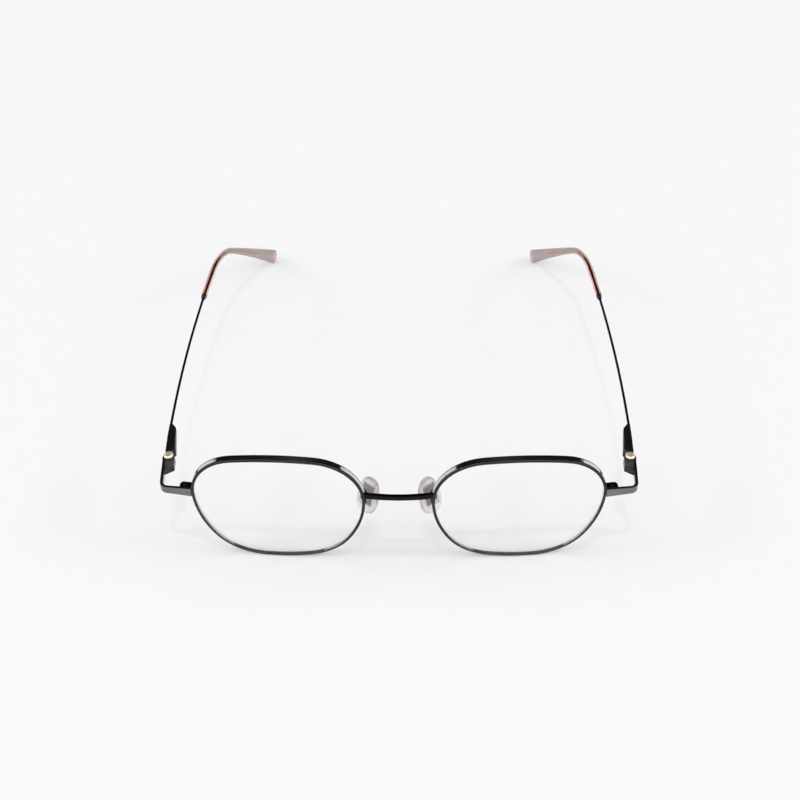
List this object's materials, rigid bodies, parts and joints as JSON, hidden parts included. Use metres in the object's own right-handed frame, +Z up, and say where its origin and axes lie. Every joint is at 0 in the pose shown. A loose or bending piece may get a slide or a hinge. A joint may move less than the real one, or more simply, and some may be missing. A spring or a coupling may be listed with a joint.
{
  "type": "square eyeglasses",
  "caption": "Square metal-rimmed eyeglasses with clear lenses, wire temples on screw hinges, curved brown tips and clear nose pads, standing open.",
  "frame": {"origin": "middle of the pair's box, on the table that it stands on", "axes": "+X to the wearer's left, +Y back along the temples, +Z up"},
  "size_m": [0.1366, 0.1523, 0.0418],
  "materials": {
    "rim_black": "satin black plating",
    "lens": "clear, coated",
    "strap_black": "satin black plating",
    "hinge_black": "satin black plating",
    "gold_screw": "gold plated",
    "pad_metal": "satin dark plating",
    "pad_screw": "gold plated",
    "pad_core": "dark bronze",
    "pad_clear": "soft clear silicone",
    "wire_black": "satin black plating",
    "collar_black": "gloss black",
    "tip_brown": "polished translucent reddish brown",
    "inlay_gold": "gold plated"
  },
  "bodies": {
    "front": {"rim_left": "rim_black", "rim_right": "rim_black", "lens_left": "lens", "lens_right": "lens", "bridge": "rim_black", "rim_lock_upper_left": "rim_black", "rim_lock_upper_right": "rim_black", "rim_lock_lower_left": "rim_black", "rim_lock_lower_right": "rim_black", "rim_screws": "rim_black", "end_piece_left": "strap_black", "end_piece_right": "strap_black", "front_hinge_leaf_left": "hinge_black", "front_hinge_leaf_right": "hinge_black", "hinge_screws": "gold_screw", "pad_arm_left": "pad_metal", "pad_arm_right": "pad_metal", "pad_box_left": "pad_metal", "pad_box_right": "pad_metal", "pad_screws": "pad_screw"},
    "temple_left": {"temple_hinge_leaf_left": "hinge_black", "temple_wire_left": "wire_black", "tip_collar_left": "collar_black", "temple_tip_left": "tip_brown", "tip_inlay_left": "inlay_gold"},
    "temple_right": {"temple_hinge_leaf_right": "hinge_black", "temple_wire_right": "wire_black", "tip_collar_right": "collar_black", "temple_tip_right": "tip_brown", "tip_inlay_right": "inlay_gold"},
    "pad_left": {"pad_core_left": "pad_core", "nose_pad_left": "pad_clear"},
    "pad_right": {"pad_core_right": "pad_core", "nose_pad_right": "pad_clear"}
  },
  "joints": [
    {"name": "temple_left_hinge", "type": "hinge", "parent": "front", "child": "temple_left", "pos_m": [0.06653, -0.05901, 0.02604], "axis": [0.0436, -0.0377, 0.9983], "range_deg": [0, 85]},
    {"name": "temple_right_hinge", "type": "hinge", "parent": "front", "child": "temple_right", "pos_m": [-0.06653, -0.05901, 0.02604], "axis": [0.0436, 0.0377, -0.9983], "range_deg": [0, 80]},
    {"name": "pad_left_rock", "type": "hinge", "parent": "front", "child": "pad_left", "pos_m": [0.01012, -0.06901, 0.02107], "axis": [0.7431, 0.6691, 0], "range_deg": [-8, 8]},
    {"name": "pad_right_rock", "type": "hinge", "parent": "front", "child": "pad_right", "pos_m": [-0.01012, -0.06901, 0.02107], "axis": [0.7431, -0.6691, 0], "range_deg": [-8, 8]}
  ]
}
